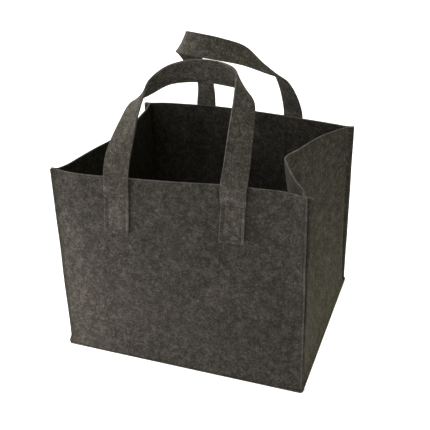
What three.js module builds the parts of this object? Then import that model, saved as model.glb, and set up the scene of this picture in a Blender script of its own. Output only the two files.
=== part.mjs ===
// Felt log bag: four felt walls on a felt base, sewn with raw seams outwards, and two strap handles.
// Millimetres, +Z up, the front towards -Y, the origin under the middle of the base.
import * as THREE from "three";

// Driving dimensions
const WIDTH = 400;
const DEPTH = 350;
const HEIGHT = 320;
const FELT = 3;
const GAP = 0.3;
const BASE_CORNER = 5;
const SEAM = 10;
const SEAM_BEND = 4;
const SEAM_SPREAD = 2;
const STRAP_WIDTH = 39;
const TAB_TOP = 290;

// The foot of the walls: it stands on the base and spreads to its edge, and a side starts upright
const FOOT = FELT + GAP;
const FLARE = 3;
const FLARE_HEIGHT = 14;
const UPRIGHT = 2;

// A strap's feet: where a tab's middle lies across its wall at the rim and at its foot, and the foot's height
const FRONT_FEET = {
  left: { rim: -89.5, foot: -94.5, z: 228.5 },
  right: { rim: 88, foot: 85.5, z: 233.5 },
};
const BACK_FEET = {
  left: { rim: -84, foot: -83, z: 230 },
  right: { rim: 88, foot: 88, z: 230 },
};

// How the walls lean and fold: the lean grows towards the rim, a side's fold fades towards the base
const LEAN_POWER = 1.5;
const FOLD_POWER = 1.3;
const FRONT_PULL = 7.3;
const FRONT_SPREAD = 1.2;
const BACK_SPREAD = 1.4;
const RIGHT_DIP = 5;
const LEFT_DIP = 1;

// How far a side's front allowance is cut past the front wall's edge
const RIGHT_PAST = { base: 0.5, rim: 5.5 };
const LEFT_PAST = { base: 0, rim: 0 };

// Front wall: how far its outer face stands back from the front plane, at the base and at the rim
const FRONT_PLAN = [
  { across: -200, base: 0, rim: 1 },
  { across: -190, base: 2, rim: 2.5 },
  { across: -165, base: 0.5, rim: -2 },
  { across: -140, base: 0, rim: -3 },
  { across: -90, base: 0, rim: 2 },
  { across: -36, base: 0, rim: 8 },
  { across: 30, base: 0, rim: 18 },
  { across: 75, base: 0, rim: 25 },
  { across: 140, base: 0, rim: 28.5 },
  { across: 165, base: 0.5, rim: 28 },
  { across: 190, base: 2, rim: 21 },
  { across: 200, base: 0, rim: 16 },
];

// Back wall: how far its outer face stands in from the back plane, at the base and at the rim
const BACK_PLAN = [
  { across: -200, base: 0, rim: 2 },
  { across: -190, base: 2, rim: 3 },
  { across: -165, base: 0.5, rim: -4 },
  { across: -140, base: 0, rim: -7 },
  { across: -80, base: 0, rim: -12.5 },
  { across: -20, base: 0, rim: -10.5 },
  { across: 30, base: 0, rim: -5 },
  { across: 75, base: 0, rim: 2 },
  { across: 120, base: 0, rim: 11 },
  { across: 165, base: 0.5, rim: 19 },
  { across: 190, base: 2, rim: 24 },
  { across: 200, base: 0, rim: 21 },
];

// Side walls between their seams, front to back: how far in from the side plane, and where along Y
const RIGHT_PLAN = [
  { baseIn: 1, baseY: -148, rimIn: 17, rimY: -134 },
  { baseIn: 0, baseY: -122, rimIn: 35, rimY: -104 },
  { baseIn: 0, baseY: -82, rimIn: 53, rimY: -68 },
  { baseIn: 0, baseY: -42, rimIn: 68, rimY: -32 },
  { baseIn: 0, baseY: -17, rimIn: 75, rimY: -13 },
  { baseIn: 0, baseY: 2, rimIn: 74, rimY: 3 },
  { baseIn: 0, baseY: 30, rimIn: 64, rimY: 26 },
  { baseIn: 0, baseY: 62, rimIn: 54, rimY: 56 },
  { baseIn: 0, baseY: 98, rimIn: 41, rimY: 90 },
  { baseIn: 0, baseY: 128, rimIn: 25, rimY: 119 },
  { baseIn: 0, baseY: 154, rimIn: 10, rimY: 141 },
];
const LEFT_PLAN = [
  { baseIn: 1, baseY: -150, rimIn: 14, rimY: -147 },
  { baseIn: 0, baseY: -118, rimIn: 17, rimY: -115 },
  { baseIn: 0, baseY: -72, rimIn: 22, rimY: -70 },
  { baseIn: 0, baseY: -32, rimIn: 28, rimY: -31 },
  { baseIn: 0, baseY: 6, rimIn: 31, rimY: 6 },
  { baseIn: 0, baseY: 42, rimIn: 30, rimY: 42 },
  { baseIn: 0, baseY: 76, rimIn: 26, rimY: 76 },
  { baseIn: 0, baseY: 102, rimIn: 22, rimY: 102 },
  { baseIn: 0, baseY: 130, rimIn: 18, rimY: 130 },
  { baseIn: 1, baseY: 150, rimIn: 13, rimY: 149 },
];

// Free part of each strap, left to right: the middle of a section, then how its width is turned.
// Swing turns the width from the rim's direction, tilt lifts its inner edge.
const FRONT_ARCH = [
  { x: -89, y: -177, z: 320, swing: -5, tilt: 0 },
  { x: -85, y: -171, z: 355, swing: 2, tilt: -4 },
  { x: -79, y: -142, z: 398, swing: 25, tilt: 11 },
  { x: -74, y: -121, z: 422, swing: 36, tilt: 22 },
  { x: -64, y: -98, z: 436, swing: 61, tilt: 49 },
  { x: -42, y: -71, z: 450, swing: 75, tilt: 59 },
  { x: -7, y: -55, z: 455, swing: 86, tilt: 72 },
  { x: 34, y: -55, z: 454, swing: 94, tilt: 75 },
  { x: 68, y: -71, z: 450, swing: 109, tilt: 60 },
  { x: 84, y: -100, z: 434, swing: 132, tilt: 32 },
  { x: 88, y: -127, z: 401, swing: 139, tilt: 21 },
  { x: 88, y: -150, z: 348, swing: 150, tilt: 11 },
  { x: 85.5, y: -157.5, z: 319, swing: 172, tilt: 2 },
];
const BACK_ARCH = [
  { x: -84, y: 192, z: 320, swing: -9, tilt: 0 },
  { x: -88, y: 197, z: 364, swing: -22, tilt: 4 },
  { x: -102, y: 180, z: 404, swing: -6, tilt: 8 },
  { x: -104, y: 155, z: 433, swing: 16, tilt: 28 },
  { x: -100, y: 124, z: 450.5, swing: 41, tilt: 51 },
  { x: -85, y: 97, z: 457.5, swing: 63, tilt: 66 },
  { x: -55, y: 85, z: 457.5, swing: 77, tilt: 64 },
  { x: -19, y: 90, z: 452, swing: 91, tilt: 55 },
  { x: 16, y: 109, z: 440, swing: 105, tilt: 41 },
  { x: 43, y: 137, z: 415, swing: 125, tilt: 19 },
  { x: 68, y: 166, z: 387, swing: 138, tilt: 1 },
  { x: 85, y: 181, z: 332, swing: 157, tilt: -9 },
];

// Where the walls are sampled, from their foot on the base up to the rim
const WALL_HEIGHTS = [FOOT, 5.3, 7.8, 10.3, 12.8, 15.3, 17.3, 55, 90, 125, 160, 195, 230, 260, 290, 320];
const WALL_COLUMNS = [0, 35, 138, 165, 180, 190, 195, 200];

const panelFelt = new THREE.MeshStandardMaterial({ name: "panel_felt", color: 0x4b4641, roughness: 0.95 });
const strapFelt = new THREE.MeshStandardMaterial({ name: "strap_felt", color: 0x544e48, roughness: 0.95 });

// A smooth curve through the rows of a table
function smoothThrough(rows, place, value) {
  const slopes = rows.map((row, i) => {
    const before = rows[Math.max(i - 1, 0)];
    const after = rows[Math.min(i + 1, rows.length - 1)];
    return (after[value] - before[value]) / (after[place] - before[place]);
  });
  return (at) => {
    const next = rows.findIndex((row) => row[place] >= at);
    const i = next < 0 ? rows.length - 2 : Math.max(next - 1, 0);
    const span = rows[i + 1][place] - rows[i][place];
    const t = (at - rows[i][place]) / span;
    const rise = t * t * (3 - 2 * t);
    const leave = t * (1 - t) * (1 - t);
    const arrive = t * t * (t - 1);
    const bend = (slopes[i] * leave + slopes[i + 1] * arrive) * span;
    return THREE.MathUtils.lerp(rows[i][value], rows[i + 1][value], rise) + bend;
  };
}

const frontBase = smoothThrough(FRONT_PLAN, "across", "base");
const frontRim = smoothThrough(FRONT_PLAN, "across", "rim");
const backBase = smoothThrough(BACK_PLAN, "across", "base");
const backRim = smoothThrough(BACK_PLAN, "across", "rim");

function leanAt(z) {
  return (z / HEIGHT) ** LEAN_POWER;
}

// How far the walls spread at their foot
function flareAt(z) {
  return FLARE * (1 - THREE.MathUtils.smoothstep(z, FOOT, FOOT + FLARE_HEIGHT));
}

// Middle surfaces of the front and back walls
function frontPoint(across, z) {
  const lean = leanAt(z);
  const flare = flareAt(z);
  const back = THREE.MathUtils.lerp(frontBase(across), frontRim(across), lean) - flare;
  const drawn = FRONT_PULL * Math.max(0, across) - FRONT_SPREAD * Math.min(0, across);
  const pull = (lean * drawn - flare * across) / (WIDTH / 2);
  return new THREE.Vector3(across - pull, -DEPTH / 2 + FELT / 2 + back, z);
}

function backPoint(across, z) {
  const lean = leanAt(z);
  const inwards = THREE.MathUtils.lerp(backBase(across), backRim(across), lean) - flareAt(z);
  const spread = (BACK_SPREAD * lean * Math.max(0, across)) / (WIDTH / 2);
  return new THREE.Vector3(across + spread, DEPTH / 2 - FELT / 2 - inwards, z);
}

// A point off a wall's middle surface, out of the bag for a distance above zero
function offWall(wall, facing, across, z, distance) {
  const step = 0.5;
  const along = wall(across + step, z).sub(wall(across - step, z));
  const top = Math.min(z + step, HEIGHT);
  const up = wall(across, top).sub(wall(across, top - 2 * step));
  const out = along.cross(up).normalize().multiplyScalar(facing);
  return wall(across, z).addScaledVector(out, distance);
}

// A felt sheet of even thickness from a grid of points of its middle surface
function sheet(columns, rows, place) {
  const middle = columns.map((column) => rows.map((row) => place(column, row)));
  const normals = columns.map(() => rows.map(() => new THREE.Vector3()));
  const cells = [];
  for (let i = 0; i + 1 < columns.length; i += 1) {
    for (let j = 0; j + 1 < rows.length; j += 1) {
      const corners = [[i, j], [i + 1, j], [i + 1, j + 1], [i, j + 1]];
      const [a, b, c, d] = corners.map(([ci, cj]) => middle[ci][cj]);
      const normal = c.clone().sub(a).cross(d.clone().sub(b)).normalize();
      corners.forEach(([ci, cj]) => normals[ci][cj].add(normal));
      cells.push(corners);
    }
  }
  const positions = [];
  const side = (corner, facing) => {
    const [i, j] = corner;
    const normal = normals[i][j].clone().normalize();
    return middle[i][j].clone().addScaledVector(normal, (facing * FELT) / 2);
  };
  const triangle = (...points) => points.forEach((point) => positions.push(point.x, point.y, point.z));
  const quad = (a, b, c, d) => {
    triangle(a, b, c);
    triangle(a, c, d);
  };
  const edges = new Map();
  for (const corners of cells) {
    const outer = corners.map((corner) => side(corner, 1));
    const inner = corners.map((corner) => side(corner, -1));
    quad(...outer);
    quad(inner[3], inner[2], inner[1], inner[0]);
    corners.forEach((from, k) => {
      const to = corners[(k + 1) % 4];
      const back = `${to} ${from}`;
      if (edges.has(back)) edges.delete(back);
      else edges.set(`${from} ${to}`, [from, to]);
    });
  }
  for (const [from, to] of edges.values()) {
    quad(side(from, 1), side(from, -1), side(to, -1), side(to, 1));
  }
  const geometry = new THREE.BufferGeometry();
  geometry.setAttribute("position", new THREE.Float32BufferAttribute(positions, 3));
  return geometry;
}

// Where the middle of a tab lies across its wall
function tabMiddle(foot, z) {
  return THREE.MathUtils.mapLinear(z, HEIGHT, foot.z, foot.rim, foot.foot);
}

// Columns on both halves of a wall, and under the middle and the edges of its strap's feet
function wallColumns(feet) {
  const halves = WALL_COLUMNS.flatMap((across) => (across > 0 ? [-across, across] : [across]));
  const under = [feet.left, feet.right].flatMap((foot) => {
    const middle = tabMiddle(foot, TAB_TOP);
    return [middle - STRAP_WIDTH / 2, middle, middle + STRAP_WIDTH / 2];
  });
  return [...halves, ...under].sort((a, b) => a - b);
}

function wallPanel(wall, feet) {
  return sheet(wallColumns(feet), WALL_HEIGHTS, wall);
}

// Plan of a side wall at one height: seam allowance, bend, wall, bend, seam allowance
function sideSection({ hand, plan, dip, past }, z) {
  const lean = leanAt(z);
  const fold = 1 - (1 - Math.max(z, FOOT + UPRIGHT) / HEIGHT) ** FOLD_POWER;
  const deepest = Math.max(...plan.map((row) => row.rimIn));
  const allowance = (wall, facing, cutPast) => {
    const behind = (fromEdge, spread) => {
      return offWall(wall, facing, hand * (WIDTH / 2 - fromEdge), z, -(FELT + GAP + spread));
    };
    const middle = behind(SEAM / 2, 0);
    const tip = middle.clone().lerp(behind(0, SEAM_SPREAD * lean), 1 + cutPast / (SEAM / 2));
    return [tip, middle, behind(SEAM - SEAM_BEND, 0), behind(SEAM, 0)];
  };
  const stations = plan.map((row) => {
    const inwards = THREE.MathUtils.lerp(row.baseIn, row.rimIn, fold) - flareAt(z);
    const y = THREE.MathUtils.lerp(row.baseY, row.rimY, lean);
    const drop = dip * lean * (row.rimIn / deepest) ** 2;
    return new THREE.Vector3(hand * (WIDTH / 2 - FELT / 2 - inwards), y, z - drop);
  });
  const turn = (root, corner, next) => {
    const start = corner.clone().add(next.clone().sub(corner).setLength(SEAM_BEND));
    const curve = new THREE.QuadraticBezierCurve3(root, corner, start);
    return [0.35, 0.7, 1].map((t) => curve.getPoint(t));
  };
  const frontPast = THREE.MathUtils.lerp(past.base, past.rim, lean);
  const [frontTip, frontMiddle, frontRoot, frontCorner] = allowance(frontPoint, 1, frontPast);
  const [backTip, backMiddle, backRoot, backCorner] = allowance(backPoint, -1, 0);
  const frontTurn = turn(frontRoot, frontCorner, stations[0]);
  const backTurn = turn(backRoot, backCorner, stations[stations.length - 1]).reverse();
  const through = [frontTurn[2], ...stations, backTurn[0]];
  const curve = new THREE.CatmullRomCurve3(through, false, "centripetal");
  const spans = (through.length - 1) * 2;
  const wall = [];
  for (let k = 1; k < spans; k += 1) wall.push(curve.getPoint(k / spans));
  return [frontTip, frontMiddle, frontRoot, ...frontTurn, ...wall, ...backTurn, backRoot, backMiddle, backTip];
}

function sidePanel(side) {
  const sections = WALL_HEIGHTS.map((z) => sideSection(side, z));
  const columns = sections[0].map((point, i) => i);
  return sheet(columns, sections, (column, section) => section[column]);
}

function basePanel() {
  const x = WIDTH / 2 + FLARE;
  const y = DEPTH / 2 + FLARE;
  const r = BASE_CORNER;
  const outline = new THREE.Shape();
  outline.moveTo(-x + r, -y);
  outline.lineTo(x - r, -y);
  outline.absarc(x - r, -y + r, r, -Math.PI / 2, 0);
  outline.lineTo(x, y - r);
  outline.absarc(x - r, y - r, r, 0, Math.PI / 2);
  outline.lineTo(-x + r, y);
  outline.absarc(-x + r, y - r, r, Math.PI / 2, Math.PI);
  outline.lineTo(-x, -y + r);
  outline.absarc(-x + r, -y + r, r, Math.PI, 1.5 * Math.PI);
  return new THREE.ExtrudeGeometry(outline, { depth: FELT, bevelEnabled: false, curveSegments: 6 });
}

// A strap: a tab flat on the wall, the free arch, and the other tab
function strap(wall, facing, feet, arch) {
  const samples = 4;
  const off = FELT + GAP;
  const columns = [-STRAP_WIDTH / 2, 0, STRAP_WIDTH / 2];
  const tab = (foot, hand) => {
    const heights = [foot.z, (foot.z + TAB_TOP) / 2, TAB_TOP];
    return heights.map((z) => (v) => offWall(wall, facing, tabMiddle(foot, z) - hand * v, z, off));
  };
  const left = tab(feet.left, -1);
  const right = tab(feet.right, 1).reverse();
  const before = [left[left.length - 2](0), left[left.length - 1](0)];
  const after = [right[0](0), right[1](0)];
  const centres = arch.map((row) => new THREE.Vector3(row.x, row.y, row.z));
  const line = new THREE.CatmullRomCurve3([...before, ...centres, ...after], false, "catmullrom", 0.5);
  const turns = arch.map((row) => new THREE.Vector3(row.swing, row.tilt, 0));
  const tabTurn = (row, turned) => {
    const width = row(STRAP_WIDTH / 2).sub(row(-STRAP_WIDTH / 2));
    const swing = THREE.MathUtils.radToDeg(Math.atan(-facing * width.y / width.x));
    return new THREE.Vector3(turned + swing, 0, 0);
  };
  const first = tabTurn(left[left.length - 1], 0);
  const last = tabTurn(right[0], 180);
  const twist = new THREE.CatmullRomCurve3([first, first, ...turns, last, last], false, "catmullrom", 0.5);
  const spans = centres.length + 3;
  const free = [];
  for (let k = samples + 1; k < (spans - 1) * samples; k += 1) {
    const t = k / (spans * samples);
    const centre = line.getPoint(t);
    const along = line.getTangent(t);
    const turn = twist.getPoint(t);
    const swing = THREE.MathUtils.degToRad(turn.x);
    const tilt = THREE.MathUtils.degToRad(turn.y);
    const flat = Math.cos(tilt);
    const width = new THREE.Vector3(flat * Math.cos(swing), -facing * flat * Math.sin(swing), Math.sin(tilt));
    width.addScaledVector(along, -width.dot(along)).normalize();
    free.push((v) => centre.clone().addScaledVector(width, v));
  }
  return sheet(columns, [...left, ...free, ...right], (v, row) => row(v));
}

const bag = new THREE.Group();
bag.name = "felt_log_bag";

function addPiece(name, geometry, material) {
  const mesh = new THREE.Mesh(geometry, material);
  mesh.name = name;
  bag.add(mesh);
}

addPiece("base_panel", basePanel(), panelFelt);
addPiece("front_panel", wallPanel(frontPoint, FRONT_FEET), panelFelt);
addPiece("back_panel", wallPanel(backPoint, BACK_FEET), panelFelt);
addPiece("left_side", sidePanel({ hand: -1, plan: LEFT_PLAN, dip: LEFT_DIP, past: LEFT_PAST }), panelFelt);
addPiece("right_side", sidePanel({ hand: 1, plan: RIGHT_PLAN, dip: RIGHT_DIP, past: RIGHT_PAST }), panelFelt);
addPiece("front_handle", strap(frontPoint, 1, FRONT_FEET, FRONT_ARCH), strapFelt);
addPiece("back_handle", strap(backPoint, -1, BACK_FEET, BACK_ARCH), strapFelt);

export default bag;
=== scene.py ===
import math
from bisect import bisect_left
from collections import namedtuple

import bpy
import numpy as np
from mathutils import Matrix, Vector, noise


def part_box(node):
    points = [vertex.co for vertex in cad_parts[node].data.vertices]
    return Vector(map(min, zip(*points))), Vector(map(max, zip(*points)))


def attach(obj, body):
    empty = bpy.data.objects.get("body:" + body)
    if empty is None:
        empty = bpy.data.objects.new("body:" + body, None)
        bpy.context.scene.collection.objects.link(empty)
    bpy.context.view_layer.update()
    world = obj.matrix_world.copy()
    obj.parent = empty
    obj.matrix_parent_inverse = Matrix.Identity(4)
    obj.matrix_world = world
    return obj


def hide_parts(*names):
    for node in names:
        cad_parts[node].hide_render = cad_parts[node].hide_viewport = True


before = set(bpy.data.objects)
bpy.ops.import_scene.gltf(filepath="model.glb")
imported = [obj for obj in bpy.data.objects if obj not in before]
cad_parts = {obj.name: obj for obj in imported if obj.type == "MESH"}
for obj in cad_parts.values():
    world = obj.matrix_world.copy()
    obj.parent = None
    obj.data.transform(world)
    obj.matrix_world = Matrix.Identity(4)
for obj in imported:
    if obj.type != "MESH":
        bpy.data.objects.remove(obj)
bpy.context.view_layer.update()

# Sizes of the bag in millimetres: the walls stand on the base and spread to its edge at their foot
MM = 0.001
FLARE = 3
FLARE_HEIGHT = 14
base_low, base_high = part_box("base_panel")
WIDTH = round((base_high.x - base_low.x) / MM) - 2 * FLARE
DEPTH = round((base_high.y - base_low.y) / MM) - 2 * FLARE
FELT = round((base_high.z - base_low.z) / MM)
HEIGHT = 320
GAP = 0.3
FOOT = FELT + GAP
UPRIGHT = 2
BASE_CORNER = 5
SEAM = 10
SEAM_BEND = 4
SEAM_SPREAD = 2
STRAP_WIDTH = 39
TAB_TOP = 290

# Cut edges: how they are rounded, and how high up and how level a cut must be to show paler felt, a painted
# highlight for the light a cut edge catches
CUT_ROUNDING = 0.8
CUT_STEPS = 2
CUT_ANGLE = math.radians(60)
SMOOTH_ANGLE = math.radians(55)
HIGHLIGHT_FROM = 12
HIGHLIGHT_LEVEL = 0.5

# How the walls lean and fold: the lean grows towards the rim, a side's fold fades towards the base
LEAN_POWER = 1.5
FOLD_POWER = 1.3
FRONT_PULL = 7.3
FRONT_SPREAD = 1.2
BACK_SPREAD = 1.4

# Sewing: a stitch's pitch and size, the tabs' boxes and loose edges, the corner seams, the thread's pull
STITCH_PITCH = 4.6
STITCH_LENGTH = 4.0
STITCH_WIDTH = 1.0
STITCH_HEIGHT = 0.8
STITCH_LIFT = 0.3
STITCH_SIDES = 6
STITCH_RINGS = 5
BOX_SIDE = 13.5
BOX_RISE = 5
LOOSE_LIFT = 1.4
LOOSE_HEIGHT = 15
CORNER_LINE = 196
SEAM_END = 3
DIMPLE = 0.9
DIMPLE_WIDTH = 2.8

# The felt's own unevenness, the same in each run
SWAY = 0.7
SWAY_SIZE = 65
SWAY_START = 45
SWAY_SEED = 3

# How finely the felt sheets are divided: closely at the walls' foot and corners and at the bends
CORNER_FROM = 165
CORNER_COLUMNS = 24
MIDDLE_COLUMNS = 96
FOOT_ROWS = 8
WALL_ROWS = 86
ALLOWANCE_STEPS = 4
BEND_STEPS = 6
SPAN_STEPS = 6
BASE_CORNER_STEPS = 6
BASE_STEPS = 80
STRAP_COLUMNS = 39
STRAP_SPAN_ROWS = 12
TAB_ROWS = 60

# How the spacing of its points shapes a smooth line: by their count, or by the root of their distance
BY_COUNT = 0
BY_ROOT = 0.5

WallRow = namedtuple("WallRow", "across base rim")
SideRow = namedtuple("SideRow", "base_in base_y rim_in rim_y")
ArchRow = namedtuple("ArchRow", "x y z swing tilt")
Foot = namedtuple("Foot", "rim foot z")
Wall = namedtuple("Wall", "point facing left_foot right_foot")
Past = namedtuple("Past", "base rim")
Side = namedtuple("Side", "hand plan dip past")
Strands = namedtuple("Strands", "scale shift width")
Sun = namedtuple("Sun", "name strength colour place spread")
Card = namedtuple("Card", "name strength colour place target width height")

# Front and back walls: how far the outer face stands in from its plane, at the base and at the rim
FRONT_PLAN = [
    WallRow(-200, 0, 1),
    WallRow(-190, 2, 2.5),
    WallRow(-165, 0.5, -2),
    WallRow(-140, 0, -3),
    WallRow(-90, 0, 2),
    WallRow(-36, 0, 8),
    WallRow(30, 0, 18),
    WallRow(75, 0, 25),
    WallRow(140, 0, 28.5),
    WallRow(165, 0.5, 28),
    WallRow(190, 2, 21),
    WallRow(200, 0, 16),
]
BACK_PLAN = [
    WallRow(-200, 0, 2),
    WallRow(-190, 2, 3),
    WallRow(-165, 0.5, -4),
    WallRow(-140, 0, -7),
    WallRow(-80, 0, -12.5),
    WallRow(-20, 0, -10.5),
    WallRow(30, 0, -5),
    WallRow(75, 0, 2),
    WallRow(120, 0, 11),
    WallRow(165, 0.5, 19),
    WallRow(190, 2, 24),
    WallRow(200, 0, 21),
]

# Side walls between their seams, front to back: how far in from the side plane, and where along Y
RIGHT_PLAN = [
    SideRow(1, -148, 17, -134),
    SideRow(0, -122, 35, -104),
    SideRow(0, -82, 53, -68),
    SideRow(0, -42, 68, -32),
    SideRow(0, -17, 75, -13),
    SideRow(0, 2, 74, 3),
    SideRow(0, 30, 64, 26),
    SideRow(0, 62, 54, 56),
    SideRow(0, 98, 41, 90),
    SideRow(0, 128, 25, 119),
    SideRow(0, 154, 10, 141),
]
LEFT_PLAN = [
    SideRow(1, -150, 14, -147),
    SideRow(0, -118, 17, -115),
    SideRow(0, -72, 22, -70),
    SideRow(0, -32, 28, -31),
    SideRow(0, 6, 31, 6),
    SideRow(0, 42, 30, 42),
    SideRow(0, 76, 26, 76),
    SideRow(0, 102, 22, 102),
    SideRow(0, 130, 18, 130),
    SideRow(1, 150, 13, 149),
]

# Free part of each strap, left to right: the middle of a section, then how its width is turned
FRONT_ARCH = [
    ArchRow(-89, -177, 320, -5, 0),
    ArchRow(-85, -171, 355, 2, -4),
    ArchRow(-79, -142, 398, 25, 11),
    ArchRow(-74, -121, 422, 36, 22),
    ArchRow(-64, -98, 436, 61, 49),
    ArchRow(-42, -71, 450, 75, 59),
    ArchRow(-7, -55, 455, 86, 72),
    ArchRow(34, -55, 454, 94, 75),
    ArchRow(68, -71, 450, 109, 60),
    ArchRow(84, -100, 434, 132, 32),
    ArchRow(88, -127, 401, 139, 21),
    ArchRow(88, -150, 348, 150, 11),
    ArchRow(85.5, -157.5, 319, 172, 2),
]
BACK_ARCH = [
    ArchRow(-84, 192, 320, -9, 0),
    ArchRow(-88, 197, 364, -22, 4),
    ArchRow(-102, 180, 404, -6, 8),
    ArchRow(-104, 155, 433, 16, 28),
    ArchRow(-100, 124, 450.5, 41, 51),
    ArchRow(-85, 97, 457.5, 63, 66),
    ArchRow(-55, 85, 457.5, 77, 64),
    ArchRow(-19, 90, 452, 91, 55),
    ArchRow(16, 109, 440, 105, 41),
    ArchRow(43, 137, 415, 125, 19),
    ArchRow(68, 166, 387, 138, 1),
    ArchRow(85, 181, 332, 157, -9),
]


# Curves

def lerp(start, end, share):
    return start + (end - start) * share


def steps(start, end, count):
    """Even places from start to end, both included."""
    return [lerp(start, end, k / count) for k in range(count + 1)]


def table_curve(rows, column):
    """A smooth curve of one column over the first column of a table."""
    places = [row[0] for row in rows]
    values = [getattr(row, column) for row in rows]
    last = len(rows) - 1
    slopes = []
    for k in range(len(rows)):
        before, after = max(k - 1, 0), min(k + 1, last)
        slopes.append((values[after] - values[before]) / (places[after] - places[before]))

    def curve(at):
        k = min(max(bisect_left(places, at) - 1, 0), last - 1)
        span = places[k + 1] - places[k]
        t = (at - places[k]) / span
        rise = t * t * (3 - 2 * t)
        leave = t * (1 - t) * (1 - t)
        arrive = t * t * (t - 1)
        return lerp(values[k], values[k + 1], rise) + (slopes[k] * leave + slopes[k + 1] * arrive) * span

    return curve


def smooth_line(points, spacing_power):
    """A smooth line through points; a place on it counts the spans from the first point."""
    ends = [2 * points[0] - points[1], *points, 2 * points[-1] - points[-2]]
    gaps = [max((b - a).length, 1e-6) ** spacing_power for a, b in zip(ends, ends[1:])]

    def line(place):
        k = min(int(place), len(points) - 2)
        t = place - k
        a, b, c, d = ends[k:k + 4]
        before, here, after = gaps[k:k + 3]
        leave = ((b - a) / before - (c - a) / (before + here) + (c - b) / here) * here
        arrive = ((c - b) / here - (d - b) / (here + after) + (d - c) / after) * here
        bend = 2 * b - 2 * c + leave + arrive
        swell = 3 * c - 3 * b - 2 * leave - arrive
        return ((bend * t + swell) * t + leave) * t + b

    return line


# The walls' middle surfaces

front_base = table_curve(FRONT_PLAN, "base")
front_rim = table_curve(FRONT_PLAN, "rim")
back_base = table_curve(BACK_PLAN, "base")
back_rim = table_curve(BACK_PLAN, "rim")


def lean_at(z):
    return (z / HEIGHT) ** LEAN_POWER


def flare_at(z):
    """How far the walls spread at their foot."""
    t = min(max((z - FOOT) / FLARE_HEIGHT, 0), 1)
    return FLARE * (1 - t * t * (3 - 2 * t))


def front_point(across, z):
    lean, flare = lean_at(z), flare_at(z)
    inwards = lerp(front_base(across), front_rim(across), lean) - flare
    drawn = FRONT_PULL * max(0, across) - FRONT_SPREAD * min(0, across)
    pull = (lean * drawn - flare * across) / (WIDTH / 2)
    return Vector((across - pull, -DEPTH / 2 + FELT / 2 + inwards, z))


def back_point(across, z):
    lean = lean_at(z)
    inwards = lerp(back_base(across), back_rim(across), lean) - flare_at(z)
    spread = BACK_SPREAD * lean * max(0, across) / (WIDTH / 2)
    return Vector((across + spread, DEPTH / 2 - FELT / 2 - inwards, z))


FRONT = Wall(front_point, 1, Foot(-89.5, -94.5, 228.5), Foot(88, 85.5, 233.5))
BACK = Wall(back_point, -1, Foot(-84, -83, 230), Foot(88, 88, 230))


def tab_foot(wall, across):
    return wall.left_foot if across < 0 else wall.right_foot


def tab_middle(foot, z):
    """Where the middle of a tab lies across its wall: a tab's foot is a little off the place at the rim."""
    return lerp(foot.rim, foot.foot, (HEIGHT - z) / (HEIGHT - foot.z))


def hollow(distance):
    return math.exp(-(distance / DIMPLE_WIDTH) ** 2 * 2)


def sewn_dimple(wall, across, z):
    """How deep the thread pulls the felt in along the tabs' boxes and the corners."""
    corner = hollow(abs(across) - CORNER_LINE)
    foot = tab_foot(wall, across)
    box_foot = foot.z + BOX_RISE
    aside = abs(across - tab_middle(foot, z))
    beyond = max(0, aside - BOX_SIDE)
    above = max(0, z - TAB_TOP, box_foot - z)
    upright = hollow(math.hypot(aside - BOX_SIDE, above))
    level = hollow(math.hypot(min(abs(z - box_foot), abs(z - TAB_TOP)), beyond))
    return DIMPLE * max(upright, level, corner)


def off_wall(wall, across, z, distance):
    """A point off a wall's middle surface, out of the bag for a distance above zero."""
    step = 0.5
    top = min(z + step, HEIGHT)
    along = wall.point(across + step, z) - wall.point(across - step, z)
    up = wall.point(across, top) - wall.point(across, top - 2 * step)
    out = along.cross(up).normalized() * wall.facing
    return wall.point(across, z) + out * (distance - sewn_dimple(wall, across, z))


noise.seed_set(SWAY_SEED)


def sway(point):
    """The felt's unevenness: neighbouring layers move together, and the foot of the bag stays put."""
    hold = min(max(point.z / SWAY_START, 0), 1)
    return point + noise.noise_vector(point / SWAY_SIZE) * SWAY * hold


# Finishes

class Level:
    """A value that changes over a surface: a socket that sums like a number."""

    def __init__(self, finish, socket):
        self.finish = finish
        self.socket = socket

    def __add__(self, other):
        return self.finish.math("ADD", self, other)

    def __radd__(self, other):
        return self.finish.math("ADD", other, self)

    def __sub__(self, other):
        return self.finish.math("SUBTRACT", self, other)

    def __rsub__(self, other):
        return self.finish.math("SUBTRACT", other, self)

    def __mul__(self, other):
        return self.finish.math("MULTIPLY", self, other)

    def __rmul__(self, other):
        return self.finish.math("MULTIPLY", other, self)

    def __abs__(self):
        return self.finish.math("ABSOLUTE", self, 0)


class Finish:
    """A material and its nodes."""

    def __init__(self, name):
        self.material = bpy.data.materials.new(name)
        self.material.use_nodes = True
        self.tree = self.material.node_tree
        self.surface = self.tree.nodes["Principled BSDF"]

    def node(self, kind, settings, sockets, output=0):
        made = self.tree.nodes.new("ShaderNode" + kind)
        for name, value in settings.items():
            setattr(made, name, value)
        for name, value in sockets.items():
            self.put(made.inputs[name], value)
        return Level(self, made.outputs[output])

    def put(self, socket, value):
        if isinstance(value, Level):
            self.tree.links.new(value.socket, socket)
        else:
            socket.default_value = value

    def math(self, operation, first, second):
        return self.node("Math", {"operation": operation}, {0: first, 1: second})

    def noise(self, place, scale, detail=2.0, roughness=0.5, distortion=0.0):
        sockets = {"Vector": place, "Scale": scale, "Detail": detail, "Roughness": roughness,
                   "Distortion": distortion}
        return self.node("TexNoise", {}, sockets, "Fac")

    def between(self, value, low, high, start=0.0, end=1.0):
        """Eases from start to end as value goes from low to high."""
        sockets = {"Value": value, "From Min": low, "From Max": high, "To Min": start, "To Max": end}
        return self.node("MapRange", {"interpolation_type": "SMOOTHSTEP"}, sockets)

    def blend(self, share, start, end):
        """A colour from start to end by share."""
        return self.node("Mix", {"data_type": "RGBA"}, {0: share, 6: start, 7: end}, 2)

    def finish(self, **sockets):
        for name, value in sockets.items():
            self.put(self.surface.inputs[name.replace("_", " ")], value)
        return self.material


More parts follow.
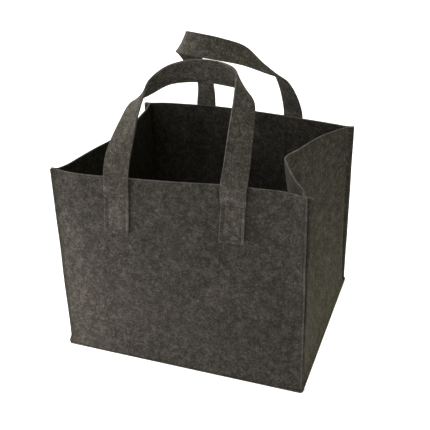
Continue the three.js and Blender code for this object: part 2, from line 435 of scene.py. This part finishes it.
# How the felt's hairs lie, as turns about X, Y and Z away from upright, and how far they are drawn out
HAIR_TURNS = [(0, 0, 0), (90, 0, 0), (0, 90, 0), (45, 0, 0), (-45, 0, 0), (0, 45, 0), (0, -45, 0)]
HAIR_DRAW = (1, 1, 7)

# Pale fibres that wander through the felt
FIBRES = [
    Strands(150.0, (0.3, 0.1, 0.7), 0.03),
    Strands(210.0, (1.3, 0.5, 0.2), 0.035),
    Strands(290.0, (0.8, 1.9, 1.1), 0.04),
]
FIBRE_SHARE = 0.45

# How fine the felt's features are, for each metre, and how much they weigh in the colour and the relief
HAIR_SCALE = 900.0
FLECK_SCALE = 75.0
PATCH_SCALE = 14.0
HUE_SCALE = 600.0
FIBRE_GAP_SCALE = 260.0
HAIR_WEIGHT = 1.6
PATCH_WEIGHT = 0.08
HAIR_RELIEF = 0.5
FIBRE_RELIEF = 0.5
FLECK_RELIEF = 1.2
FELT_RELIEF = 0.0006
WARM_TINT = (1.22, 1.0, 0.8)
COOL_TINT = (0.8, 1.0, 1.24)

# Where a noise passes from none to full: the fibres' gaps, the tints and the flecks
GAP_RANGE = (0.45, 0.7)
HUE_RANGE = (0.35, 0.65)
WISP_RANGE = (0.4, 0.82)


def felt(name, dark, light, fibre):
    """Needle felt: dark wool, flecks of lighter wool in warm and cool tints, and pale fibres."""
    wool = Finish(name)
    place = wool.node("TexCoord", {}, {}, "Object")

    def hairs(*turn):
        """Fine noise drawn out along one direction."""
        turned = [math.radians(angle) for angle in turn]
        drawn = wool.node("Mapping", {"vector_type": "TEXTURE"},
                          {"Vector": place, "Rotation": turned, "Scale": HAIR_DRAW})
        return wool.noise(drawn, HAIR_SCALE)

    def strands(scale, shift, width):
        """Thin lines along the middle level of a noise."""
        moved = wool.node("Mapping", {}, {"Vector": place, "Location": shift})
        wander = wool.noise(moved, scale, detail=1.5, distortion=0.9)
        return wool.between(abs(wander - 0.5), 0.0, width, 1.0, 0.0)

    flecks = wool.noise(place, FLECK_SCALE, detail=6.0, roughness=0.92)
    patches = wool.noise(place, PATCH_SCALE)
    grain = sum(hairs(*turn) for turn in HAIR_TURNS) * (1 / len(HAIR_TURNS))
    hue = wool.noise(place, HUE_SCALE)
    gaps = wool.noise(place, FIBRE_GAP_SCALE, detail=3.0, roughness=0.7)
    fibres = sum(strands(*lines) for lines in FIBRES) * wool.between(gaps, *GAP_RANGE)
    wisps = flecks + (grain - 0.5) * HAIR_WEIGHT + (patches - 0.5) * PATCH_WEIGHT
    warm = [level * tint for level, tint in zip(light, WARM_TINT)]
    cool = [level * tint for level, tint in zip(light, COOL_TINT)]
    pale = wool.blend(wool.between(hue, *HUE_RANGE), (*warm, 1), (*cool, 1))
    colour = wool.blend(wool.between(wisps, *WISP_RANGE), (*dark, 1), pale)
    colour = wool.blend(fibres * FIBRE_SHARE, colour, (*fibre, 1))
    height = grain * HAIR_RELIEF + fibres * FIBRE_RELIEF + flecks * FLECK_RELIEF
    bumped = wool.node("Bump", {}, {"Strength": 0.5, "Distance": FELT_RELIEF, "Height": height})
    return wool.finish(
        Base_Color=colour,
        Roughness=0.95,
        Normal=bumped,
        Specular_IOR_Level=0.1,
    )


# Thread: how fine its ply is, how much lighter the ply's high places are painted, a painted sheen, and how
# far they stand out
PLY_SCALE = 900.0
PLY_SHEEN = 2.2
PLY_RELIEF = 0.0002


def thread_finish(name, colour):
    thread = Finish(name)
    place = thread.node("TexCoord", {}, {}, "Object")
    ply = thread.noise(place, PLY_SCALE)
    # The ply's high places are painted lighter: a painted sheen on the thread
    sheen_colour = [PLY_SHEEN * level for level in colour]
    shade = thread.blend(ply, (*colour, 1), (*sheen_colour, 1))
    bumped = thread.node("Bump", {}, {"Strength": 0.4, "Distance": PLY_RELIEF, "Height": ply})
    return thread.finish(Base_Color=shade, Roughness=0.8, Normal=bumped)


# Floor: how fine its specks are, and how much darker than the rest
SPECKLE_SCALE = 40.0
SPECKLE_DARKER = 0.99


def floor_finish(name, colour, glow, strength):
    """A pale sweep that glows a little, so that it hardly takes a shadow."""
    floor = Finish(name)
    place = floor.node("TexCoord", {}, {}, "Object")
    speckle = floor.noise(place, SPECKLE_SCALE, detail=3.0)
    darker = [SPECKLE_DARKER * level for level in colour]
    shade = floor.blend(speckle, (*colour, 1), (*darker, 1))
    return floor.finish(
        Base_Color=shade,
        Roughness=0.9,
        Emission_Color=(*glow, 1),
        Emission_Strength=strength,
    )


panel_felt = felt("panel_felt", (0.0184, 0.0166, 0.0139), (0.0906, 0.0808, 0.0675), (0.128, 0.114, 0.0953))
# The strap felt is the panel felt made about half again as light, a painted highlight for the extra light
# that falls on the raised handles
strap_felt = felt("strap_felt", (0.0268, 0.024, 0.0202), (0.132, 0.1174, 0.0983), (0.186, 0.166, 0.1384))
# The cut edges' felt is paler than the panels': a painted highlight for the light the cut edges catch
cut_edge_highlight = felt("cut_edge_highlight", (0.043, 0.039, 0.034), (0.144, 0.131, 0.114), (0.18, 0.162, 0.14))
seam_thread = thread_finish("seam_thread", (0.006, 0.0056, 0.005))


# Felt sheets

def apply_modifiers(piece):
    bpy.context.view_layer.objects.active = piece
    for modifier in list(piece.modifiers):
        bpy.ops.object.modifier_apply(modifier=modifier.name)


def thicken(piece, pale):
    """Gives a sheet the felt's thickness and rounded cut edges, which get the paler cut-edge felt, a
    painted highlight, where pale says so.
    """
    thickness = piece.modifiers.new("felt thickness", "SOLIDIFY")
    thickness.thickness = FELT * MM
    thickness.offset = 0
    thickness.use_even_offset = True
    thickness.material_offset_rim = 1
    edge = piece.modifiers.new("cut edge", "BEVEL")
    edge.width = CUT_ROUNDING * MM
    edge.segments = CUT_STEPS
    edge.material = 1
    edge.limit_method = "ANGLE"
    edge.angle_limit = CUT_ANGLE
    apply_modifiers(piece)
    # Cut faces that pale turns down keep the sheet's own felt and get no painted highlight
    for face in piece.data.polygons:
        if not pale(face):
            face.material_index = 0
    bpy.ops.object.shade_smooth_by_angle(angle=SMOOTH_ANGLE)


# Cut faces low at the foot lie in shade, so the painted highlight starts above the foot
def above_foot(face):
    return face.center.z > HIGHLIGHT_FROM * MM


# On the side walls only cut faces that face up get the painted highlight, as if lit from above
def facing_up(face):
    return face.normal.z > HIGHLIGHT_LEVEL


def felt_sheet(name, finish, columns, rows, place, pale):
    """A felt sheet from a grid that place(column, row) bends into shape."""
    across, up = len(columns) - 1, len(rows) - 1
    bpy.ops.object.select_all(action="DESELECT")
    bpy.ops.mesh.primitive_grid_add(x_subdivisions=across, y_subdivisions=up, size=1)
    piece = bpy.context.object
    piece.name = piece.data.name = name
    piece.data.materials.append(finish)
    piece.data.materials.append(cut_edge_highlight)
    for vertex in piece.data.vertices:
        i = round((vertex.co.x + 0.5) * across)
        j = round((vertex.co.y + 0.5) * up)
        vertex.co = sway(place(columns[i], rows[j])) * MM
    thicken(piece, pale)
    return piece


# Where the walls are sampled
FLARE_TOP = FOOT + FLARE_HEIGHT
HEIGHTS = [*steps(FOOT, FLARE_TOP, FOOT_ROWS), *steps(FLARE_TOP, HEIGHT, WALL_ROWS)[1:]]
WALL_COLUMNS = [
    *steps(-WIDTH / 2, -CORNER_FROM, CORNER_COLUMNS),
    *steps(-CORNER_FROM, CORNER_FROM, MIDDLE_COLUMNS)[1:-1],
    *steps(CORNER_FROM, WIDTH / 2, CORNER_COLUMNS),
]


def wall_panel(name, wall):
    def place(across, z):
        return off_wall(wall, across, z, 0)

    return felt_sheet(name, panel_felt, WALL_COLUMNS, HEIGHTS, place, above_foot)


def side_section(side, z):
    """Plan of a side wall at one height: seam allowance, bend, wall, bend, seam allowance."""
    lean = lean_at(z)
    fold = 1 - (1 - max(z, FOOT + UPRIGHT) / HEIGHT) ** FOLD_POWER
    deepest = max(row.rim_in for row in side.plan)

    def behind(wall, from_edge, spread=0):
        return off_wall(wall, side.hand * (WIDTH / 2 - from_edge), z, -(FELT + GAP + spread))

    def allowance(wall, past):
        middle = behind(wall, SEAM / 2)
        tip = lerp(middle, behind(wall, 0, SEAM_SPREAD * lean), 1 + past / (SEAM / 2))
        flat = [lerp(tip, middle, share) for share in steps(0, 1, ALLOWANCE_STEPS)]
        return [*flat, behind(wall, SEAM - SEAM_BEND)]

    def turn(wall, next_point):
        start, bend = behind(wall, SEAM - SEAM_BEND), behind(wall, SEAM)
        end = bend + (next_point - bend).normalized() * SEAM_BEND
        return [lerp(lerp(start, bend, t), lerp(bend, end, t), t) for t in steps(0, 1, BEND_STEPS)[1:]]

    stations = []
    for row in side.plan:
        inwards = lerp(row.base_in, row.rim_in, fold) - flare_at(z)
        drop = side.dip * lean * (row.rim_in / deepest) ** 2
        y = lerp(row.base_y, row.rim_y, lean)
        stations.append(Vector((side.hand * (WIDTH / 2 - FELT / 2 - inwards), y, z - drop)))
    front_turn = turn(FRONT, stations[0])
    back_turn = turn(BACK, stations[-1])[::-1]
    through = [front_turn[-1], *stations, back_turn[0]]
    line = smooth_line(through, BY_ROOT)
    spans = len(through) - 1
    wall = [line(place) for place in steps(0, spans, spans * SPAN_STEPS)[1:-1]]
    front_edge = allowance(FRONT, lerp(side.past.base, side.past.rim, lean))
    back_edge = allowance(BACK, 0)[::-1]
    return [*front_edge, *front_turn, *wall, *back_turn, *back_edge]


def side_panel(name, side):
    sections = [side_section(side, z) for z in HEIGHTS]
    columns = range(len(sections[0]))

    def place(column, section):
        return section[column]

    return felt_sheet(name, panel_felt, columns, sections, place, facing_up)


def base_panel(name):
    half_x, half_y = WIDTH / 2 + FLARE, DEPTH / 2 + FLARE
    reach_x, reach_y = half_x - BASE_CORNER, half_y - BASE_CORNER

    def place(x, y):
        inner_x, inner_y = min(max(x, -reach_x), reach_x), min(max(y, -reach_y), reach_y)
        a, b = (x - inner_x) / BASE_CORNER, (y - inner_y) / BASE_CORNER
        round_x = BASE_CORNER * a * math.sqrt(1 - b * b / 2)
        round_y = BASE_CORNER * b * math.sqrt(1 - a * a / 2)
        return Vector((inner_x + round_x, inner_y + round_y, FELT / 2))

    def cut(half, reach):
        corner = steps(reach, half, BASE_CORNER_STEPS)
        return [*steps(-half, -reach, BASE_CORNER_STEPS), *steps(-reach, reach, BASE_STEPS)[1:-1], *corner]

    return felt_sheet(name, panel_felt, cut(half_x, reach_x), cut(half_y, reach_y), place, above_foot)


# Strap handles

def strap(name, wall, arch):
    """A strap: a tab flat on the wall, the free arch, and the other tab."""
    off = FELT + GAP
    halfway = TAB_ROWS // 2
    near = 0.01
    columns = steps(-STRAP_WIDTH / 2, STRAP_WIDTH / 2, STRAP_COLUMNS)

    def tab_row(foot, hand, z):
        held = min(1, (TAB_TOP - z) / LOOSE_HEIGHT)

        def place(v):
            loose = max(0, abs(v) - BOX_SIDE) / (STRAP_WIDTH / 2 - BOX_SIDE)
            lift = LOOSE_LIFT * held * loose ** 2
            return off_wall(wall, tab_middle(foot, z) - hand * v, z, off + lift)

        return place

    def row_middle(row):
        return (row(-STRAP_WIDTH / 2) + row(STRAP_WIDTH / 2)) / 2

    left = [tab_row(wall.left_foot, -1, z) for z in steps(wall.left_foot.z, TAB_TOP, TAB_ROWS)]
    right = [tab_row(wall.right_foot, 1, z) for z in steps(TAB_TOP, wall.right_foot.z, TAB_ROWS)]
    centres = [Vector((row.x, row.y, row.z)) for row in arch]
    left_ends = [row_middle(left[halfway]), row_middle(left[-1])]
    right_ends = [row_middle(right[0]), row_middle(right[halfway])]
    line = smooth_line([*left_ends, *centres, *right_ends], BY_COUNT)

    def tab_turn(row, turned):
        width = row(STRAP_WIDTH / 2) - row(-STRAP_WIDTH / 2)
        return Vector((turned + math.degrees(math.atan(-wall.facing * width.y / width.x)), 0, 0))

    first, last = tab_turn(left[-1], 0), tab_turn(right[0], 180)
    turns = [Vector((row.swing, row.tilt, 0)) for row in arch]
    twist = smooth_line([first, first, *turns, last, last], BY_COUNT)
    spans = len(centres) + 3

    def free_row(place):
        centre = line(place)
        along = (line(place + near) - line(place - near)).normalized()
        turn = twist(place)
        swing, tilt = math.radians(turn.x), math.radians(turn.y)
        flat = math.cos(tilt)
        width = Vector((flat * math.cos(swing), -wall.facing * flat * math.sin(swing), math.sin(tilt)))
        width = (width - along * width.dot(along)).normalized()
        return lambda v: centre + width * v

    places = steps(1, spans - 1, (spans - 2) * STRAP_SPAN_ROWS)[1:-1]
    rows = [*left, *[free_row(place) for place in places], *right]
    return felt_sheet(name, strap_felt, columns, rows, lambda v, row: row(v), above_foot)


# Stitches

def stitch_shape():
    """One stitch before it gets its size: a spindle along X, one unit long."""
    bpy.ops.object.select_all(action="DESELECT")
    bpy.ops.mesh.primitive_uv_sphere_add(segments=STITCH_SIDES, ring_count=STITCH_RINGS, radius=0.5)
    stitch = bpy.context.object
    bpy.ops.transform.rotate(value=math.pi / 2, orient_axis="Y", center_override=(0, 0, 0))
    bpy.ops.object.transform_apply(location=False, rotation=True, scale=False)
    return stitch


def sew(name, runs):
    """Stitches along each run of (place, outward direction) pairs, joined into one piece."""
    model = stitch_shape()
    shape = np.array([vertex.co for vertex in model.data.vertices])
    faces = [tuple(face.vertices) for face in model.data.polygons]
    bpy.data.objects.remove(model)
    points, joined = [], []
    for run in runs:
        for (start, out), (end, _) in zip(run, run[1:]):
            along = (end - start).normalized()
            side = out.cross(along).normalized()
            up = along.cross(side)
            axes = np.array([along * STITCH_LENGTH, side * STITCH_WIDTH, up * STITCH_HEIGHT])
            first = len(points) * len(shape)
            middle = (start + end) / 2 + up * STITCH_LIFT
            points.append(shape @ axes + np.array(middle))
            joined += [tuple(first + corner for corner in face) for face in faces]
    mesh = bpy.data.meshes.new(name)
    mesh.from_pydata((np.concatenate(points) * MM).tolist(), [], joined)
    mesh.shade_smooth()
    piece = bpy.data.objects.new(name, mesh)
    bpy.context.scene.collection.objects.link(piece)
    return piece


def paced(path, length):
    """Places a stitch's pitch apart along path(s), for s from 0 to length."""
    count = max(1, round(length / STITCH_PITCH))
    return [path(s) for s in steps(0, length, count)]


def on_wall(wall, across, z, distance):
    """A place on the swayed wall with its outward direction, distance off the wall's middle surface."""
    place = sway(off_wall(wall, across, z, distance))
    further = sway(off_wall(wall, across, z, distance + math.copysign(1, distance)))
    return place, (further - place).normalized()


def tab_box(wall, foot, distance):
    """The sewn box of one tab, as four runs of stitches."""
    box_foot = foot.z + BOX_RISE

    def corner_to_corner(start, end):
        (v0, z0), (v1, z1) = start, end
        length = math.hypot(v1 - v0, z1 - z0)

        def path(s):
            v, z = lerp(v0, v1, s / length), lerp(z0, z1, s / length)
            return on_wall(wall, tab_middle(foot, z) + v, z, distance)

        return paced(path, length)

    corners = [(-BOX_SIDE, box_foot), (BOX_SIDE, box_foot), (BOX_SIDE, TAB_TOP), (-BOX_SIDE, TAB_TOP)]
    return [corner_to_corner(a, b) for a, b in zip(corners, corners[1:] + corners[:1])]


def handle_stitches(name, wall):
    outside = FELT * 1.5 + GAP
    inside = -FELT / 2
    return sew(name, [run for foot in (wall.left_foot, wall.right_foot) for distance in (outside, inside)
                      for run in tab_box(wall, foot, distance)])


def corner_stitches(name):
    outside = FELT / 2
    inside = -(FELT * 1.5 + GAP)
    low, high = FOOT + SEAM_END, HEIGHT - SEAM_END

    def seam(wall, across, distance):
        return paced(lambda s: on_wall(wall, across, low + s, distance), high - low)

    return sew(name, [seam(wall, side * CORNER_LINE, distance) for wall in (FRONT, BACK)
                      for side in (-1, 1) for distance in (outside, inside)])


# The bag

base = base_panel("felt_base")
front = wall_panel("felt_front", FRONT)
back = wall_panel("felt_back", BACK)
left = side_panel("felt_left_side", Side(-1, LEFT_PLAN, dip=1, past=Past(0, 0)))
right = side_panel("felt_right_side", Side(1, RIGHT_PLAN, dip=5, past=Past(0.5, 5.5)))
front_strap = strap("felt_front_handle", FRONT, FRONT_ARCH)
back_strap = strap("felt_back_handle", BACK, BACK_ARCH)
front_sewing = handle_stitches("front_handle_stitches", FRONT)
back_sewing = handle_stitches("back_handle_stitches", BACK)
corner_sewing = corner_stitches("corner_stitches")

PANELS = {
    base: "base_panel",
    front: "front_panel",
    back: "back_panel",
    left: "left_side",
    right: "right_side",
}
STRAPS = {front_strap: "front_handle", back_strap: "back_handle"}
SEWING = [front_sewing, back_sewing, corner_sewing]


def seat(piece, node):
    """Gives a felt piece its place in the frame."""
    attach(piece, "root")
    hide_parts(node)


for piece, node in PANELS.items():
    seat(piece, node)
for piece, node in STRAPS.items():
    seat(piece, node)
for piece in SEWING:
    piece.data.materials.append(seam_thread)
    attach(piece, "root")


# Floor, light and camera

FLOOR_REACH = 14
FLOOR_COLOUR = (0.6, 0.6, 0.6)
FLOOR_GLOW = 0.66
BACKDROP_REACH = 13.9
BACKDROP_HEIGHT = 6
ROUND_SIDES = 96
BLACK = (0, 0, 0)
WHITE = (1, 1, 1)


def lay_floor(name):
    bpy.ops.object.select_all(action="DESELECT")
    bpy.ops.mesh.primitive_circle_add(vertices=ROUND_SIDES, radius=FLOOR_REACH, fill_type="NGON")
    floor = bpy.context.object
    floor.name = name
    floor.data.materials.append(floor_finish("pale_floor", FLOOR_COLOUR, WHITE, FLOOR_GLOW))


def hang_backdrop(name):
    """A pale wall all round the floor, which takes no part in the lighting of the bag."""
    bpy.ops.object.select_all(action="DESELECT")
    bpy.ops.mesh.primitive_cylinder_add(
        vertices=ROUND_SIDES,
        radius=BACKDROP_REACH,
        depth=BACKDROP_HEIGHT,
        end_fill_type="NOTHING",
        location=(0, 0, BACKDROP_HEIGHT / 2),
    )
    backdrop = bpy.context.object
    backdrop.name = name
    backdrop.visible_diffuse = False
    backdrop.visible_glossy = False
    backdrop.visible_shadow = False
    backdrop.data.materials.append(floor_finish("pale_backdrop", BLACK, WHITE, 1))


def aim(lamp, place, target):
    lamp.location = place
    lamp.rotation_mode = "QUATERNION"
    lamp.rotation_quaternion = (Vector(target) - Vector(place)).to_track_quat("-Z", "Y")


def add_lamp(name, kind, strength, colour, place, target, **sizes):
    data = bpy.data.lights.new(name, kind)
    data.energy = strength
    data.color = colour
    for size, value in sizes.items():
        setattr(data, size, value)
    lamp = bpy.data.objects.new(name, data)
    lamp.visible_camera = False
    bpy.context.scene.collection.objects.link(lamp)
    aim(lamp, place, target)


# Suns aim at the middle of the bag, with a spread in degrees, and cards stand close to one part of it
MIDDLE = (0, 0, 0.2)
WARM, COOL = (1.0, 1.0, 0.9), (0.98, 0.97, 1.1)
SUNS = [
    Sun("overhead", 1.85, WARM, (0, 0, 3), 25),
    Sun("soft_key", 0.52, COOL, (-0.6, -1.6, 2.2), 40),
    Sun("left_light", 4.0, (1.0, 0.96, 0.95), (-2.0, 0.1, 1.1), 25),
    Sun("back_fill", 0.6, WARM, (-1.5, 2.0, 0.8), 40),
]
CARDS = [
    Card("left_window", 2.6, (1.0, 0.97, 0.96), (-0.75, -0.85, 0.5), (-0.15, -0.17, 0.15), 0.4, 0.4),
    Card("left_card", 0.8, (1.0, 0.95, 0.92), (-0.3, -0.33, 0.1), (-0.18, -0.175, 0.1), 0.08, 0.2),
    Card("front_card", 0.4, COOL, (-0.25, -0.75, 0.05), (-0.1, -0.17, 0.08), 0.6, 0.08),
    Card("right_card", 0.5, (1.0, 0.95, 0.6), (0.45, 0, 0.03), (0.2, 0, 0.05), 0.35, 0.05),
]
SKY_COLOUR = (1.0, 1.05, 0.74)
SKY_STRENGTH = 0.27


def light_room():
    room = bpy.data.worlds.new("soft_room")
    room.use_nodes = True
    sky = room.node_tree.nodes["Background"]
    sky.inputs["Color"].default_value = (*SKY_COLOUR, 1)
    sky.inputs["Strength"].default_value = SKY_STRENGTH
    bpy.context.scene.world = room
    for sun in SUNS:
        spread = math.radians(sun.spread)
        add_lamp(sun.name, "SUN", sun.strength, sun.colour, sun.place, MIDDLE, angle=spread)
    for card in CARDS:
        sizes = {"shape": "RECTANGLE", "size": card.width, "size_y": card.height}
        add_lamp(card.name, "AREA", card.strength, card.colour, card.place, card.target, **sizes)


# The camera stands to the right of the front and looks down
CAMERA_PLACE = (0.38132, -1.03957, 0.74346)
AZIMUTH = 20.14
ELEVATION = 26.536
ROLL = -0.976
FOCAL_PIXELS = 724.46
FRAME_PIXELS = 430
SENSOR_WIDTH = 36


def place_camera():
    data = bpy.data.cameras.new("camera")
    data.sensor_width = SENSOR_WIDTH
    data.lens = SENSOR_WIDTH * FOCAL_PIXELS / FRAME_PIXELS
    camera = bpy.data.objects.new("camera", data)
    bpy.context.scene.collection.objects.link(camera)
    camera.location = CAMERA_PLACE
    camera.rotation_mode = "XYZ"
    camera.rotation_euler = math.radians(90 - ELEVATION), 0, math.radians(AZIMUTH)
    camera.rotation_euler.rotate_axis("Z", math.radians(ROLL))
    bpy.context.scene.camera = camera


lay_floor("floor")
hang_backdrop("backdrop")
light_room()
place_camera()
bpy.context.scene.view_settings.view_transform = "Standard"
